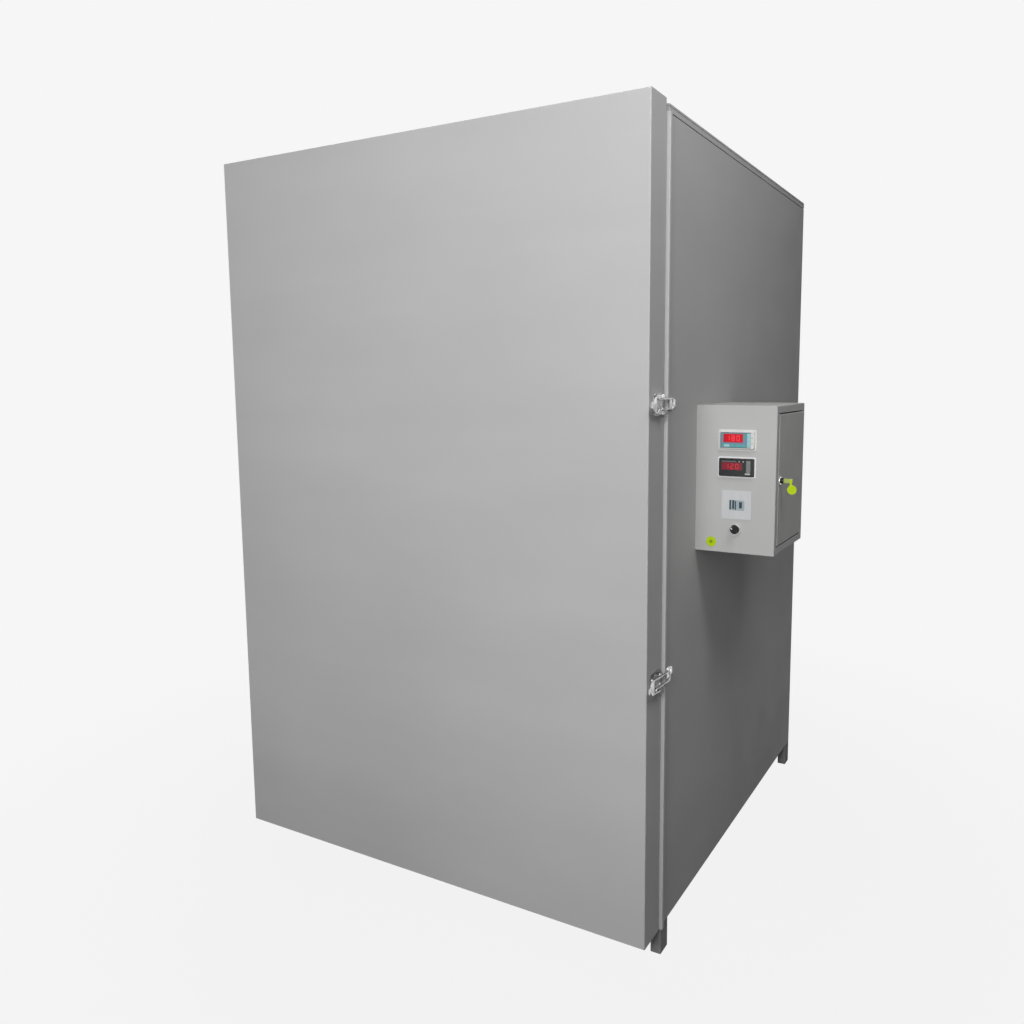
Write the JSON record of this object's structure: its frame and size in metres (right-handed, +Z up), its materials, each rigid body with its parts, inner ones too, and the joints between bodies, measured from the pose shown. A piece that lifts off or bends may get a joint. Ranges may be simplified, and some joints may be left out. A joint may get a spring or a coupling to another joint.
{
  "type": "drying cabinet",
  "caption": "Tall insulated industrial drying cabinet on short legs, with one full-height front door, toggle latches and a side-mounted control enclosure.",
  "frame": {"origin": "on the floor, under the middle of the whole cabinet's box, counted over the door hinges and the key tag, and over the latch levers and the rear wall", "axes": "+Z up; the door faces -Y; +X to the right of someone who faces the door"},
  "size_m": [1.7144, 1.51, 2.21],
  "materials": {
    "body_paint": "satin grey",
    "liner_steel": "plain sheet",
    "insulation": "mineral wool",
    "seal_rubber": "matt",
    "hinge_steel": "satin grey",
    "bright_zinc": "bright plated",
    "box_paint": "satin grey",
    "plate_zinc": "galvanised",
    "white_plastic": "satin",
    "black_plastic": "satin black",
    "ring_metal": "satin",
    "card_white": "matt",
    "signal_yellow": "gloss"
  },
  "bodies": {
    "cabinet": {"leg_front_left": "body_paint", "leg_front_right": "body_paint", "leg_rear_left": "body_paint", "leg_rear_right": "body_paint", "floor_panel": "body_paint", "side_wall_left": "body_paint", "side_wall_right": "body_paint", "rear_wall": "body_paint", "ceiling_panel": "body_paint", "roof_cap": "body_paint", "frame_post_left": "body_paint", "frame_post_right": "body_paint", "frame_sill": "body_paint", "frame_head": "body_paint", "chamber_liner": "liner_steel", "enclosure_body": "box_paint", "mounting_plate": "plate_zinc", "controller_upper": "white_plastic", "controller_lower": "black_plastic", "label_card": "card_white", "marker_disc": "signal_yellow", "selector_base": "ring_metal", "hinge_body_upper": "hinge_steel", "hinge_body_middle": "hinge_steel", "hinge_body_lower": "hinge_steel", "latch_keeper_upper": "bright_zinc", "latch_keeper_lower": "bright_zinc"},
    "door": {"door_shell": "body_paint", "door_core": "insulation", "door_liner": "liner_steel", "door_seal": "seal_rubber", "hinge_door_upper": "hinge_steel", "hinge_door_middle": "hinge_steel", "hinge_door_lower": "hinge_steel", "latch_base_upper": "bright_zinc", "latch_base_lower": "bright_zinc"},
    "lever_upper": {"latch_lever_upper": "bright_zinc"},
    "lever_lower": {"latch_lever_lower": "bright_zinc"},
    "loop_upper": {"latch_loop_upper": "bright_zinc"},
    "loop_lower": {"latch_loop_lower": "bright_zinc"},
    "lid": {"enclosure_lid": "box_paint", "lid_lock": "black_plastic", "lock_key": "bright_zinc", "key_tag": "signal_yellow"},
    "knob": {"selector_knob": "black_plastic"}
  },
  "joints": [
    {"name": "door_swing", "type": "hinge", "parent": "cabinet", "child": "door", "pos_m": [-0.84825, -0.637, 1.09], "axis": [0, 0, -1], "range_deg": [0, 120]},
    {"name": "lid_swing", "type": "hinge", "parent": "cabinet", "child": "lid", "pos_m": [0.80825, -0.122, 1.275], "axis": [0, 0, 1], "range_deg": [0, 120]},
    {"name": "knob_turn", "type": "hinge", "parent": "cabinet", "child": "knob", "pos_m": [0.70375, -0.399, 1.1405], "axis": [0, 1, 0], "range_deg": [0, 90]},
    {"name": "latch_upper", "type": "hinge", "parent": "door", "child": "lever_upper", "pos_m": [0.60375, -0.677, 1.484], "axis": [0, 0, 1], "range_deg": [0, 120]},
    {"name": "loop_upper", "type": "hinge", "parent": "lever_upper", "child": "loop_upper", "pos_m": [0.60075, -0.695, 1.484], "axis": [0, 0, 1], "range_deg": [-144, 0]},
    {"name": "latch_lower", "type": "hinge", "parent": "door", "child": "lever_lower", "pos_m": [0.60375, -0.677, 0.782], "axis": [0, 0, 1], "range_deg": [0, 120]},
    {"name": "loop_lower", "type": "hinge", "parent": "lever_lower", "child": "loop_lower", "pos_m": [0.60075, -0.695, 0.782], "axis": [0, 0, 1], "range_deg": [-144, 0]}
  ],
  "couplings": [
    {"joint": "loop_upper", "follows": "latch_upper", "ratio": -1.2},
    {"joint": "loop_lower", "follows": "latch_lower", "ratio": -1.2}
  ]
}
